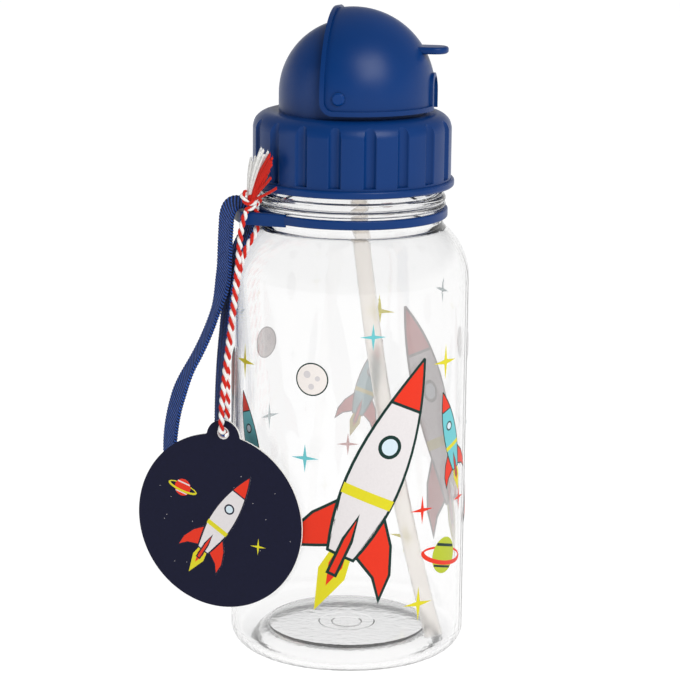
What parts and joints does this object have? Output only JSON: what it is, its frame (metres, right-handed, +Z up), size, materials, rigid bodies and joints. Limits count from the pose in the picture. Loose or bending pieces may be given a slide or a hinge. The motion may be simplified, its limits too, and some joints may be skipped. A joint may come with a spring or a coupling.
{
  "type": "kids water bottle",
  "caption": "Clear screw-neck drinking bottle with a flip cover over a folding spout, an inner straw, a neck ring with a carry strap, and a hanging tag.",
  "frame": {"origin": "centre of the ring that the bottle stands on", "axes": "+Z up along the bottle, +X the drinking side, where the cover's finger tab points; the cover turns about a line along Y"},
  "size_m": [0.0959, 0.0726, 0.1971],
  "materials": {
    "clear_plastic": "clear, polished",
    "blue_plastic": "moulded, satin",
    "pin_plastic": "moulded, smooth",
    "spout_silicone": "soft, translucent",
    "seal_silicone": "soft, matt",
    "straw_plastic": "translucent, smooth",
    "connector_plastic": "translucent, smooth",
    "strap_webbing": "woven ribbed webbing",
    "string_twine": "two-colour twisted twine",
    "tag_card": "printed card"
  },
  "bodies": {
    "bottle": {"bottle": "clear_plastic"},
    "seal": {"cap_seal": "seal_silicone"},
    "lid": {"screw_cap": "blue_plastic", "spout_base": "spout_silicone", "straw_connector": "connector_plastic", "straw": "straw_plastic", "vent_valve": "seal_silicone"},
    "cover": {"flip_cover": "blue_plastic", "hinge_pin_left": "pin_plastic", "hinge_pin_right": "pin_plastic"},
    "spout": {"spout_tip": "spout_silicone"},
    "ring": {"neck_ring": "blue_plastic", "tag_string": "string_twine", "string_knot": "string_twine", "string_tassel": "string_twine"},
    "strap": {"carry_strap": "strap_webbing"},
    "tag": {"hang_tag": "tag_card"}
  },
  "joints": [
    {"name": "lid_lift", "type": "slide", "parent": "bottle", "child": "seal", "axis": [0, 0, 1], "range_m": [0, 0.00626]},
    {"name": "lid_turn", "type": "hinge", "parent": "seal", "child": "lid", "pos_m": [0, 0, 0.1436], "axis": [0, 0, 1], "range_deg": [0, 450]},
    {"name": "cover_tilt", "type": "hinge", "parent": "lid", "child": "cover", "pos_m": [0, 0, 0.172], "axis": [0, -1, 0], "range_deg": [0, 90]},
    {"name": "spout_fold", "type": "hinge", "parent": "lid", "child": "spout", "pos_m": [0.001, 0, 0.18], "axis": [0, -1, 0], "range_deg": [0, 97.1]},
    {"name": "ring_turn", "type": "hinge", "parent": "bottle", "child": "ring", "pos_m": [0, 0, 0.1356], "axis": [0, 0, 1], "continuous": true},
    {"name": "strap_swing", "type": "hinge", "parent": "ring", "child": "strap", "pos_m": [-0.0311, -0.01517, 0.1355], "axis": [-0.4384, 0.8988, 0], "range_deg": [0, 120]},
    {"name": "tag_swing", "type": "hinge", "parent": "ring", "child": "tag", "pos_m": [-0.03239, -0.03094, 0.0722], "axis": [-0.2079, -0.9781, 0], "range_deg": [-30, 30]}
  ],
  "couplings": [
    {"joint": "lid_lift", "follows": "lid_turn", "m_per_rad": 0.00079577},
    {"joint": "spout_fold", "follows": "cover_tilt", "ratio": 1.0778}
  ]
}
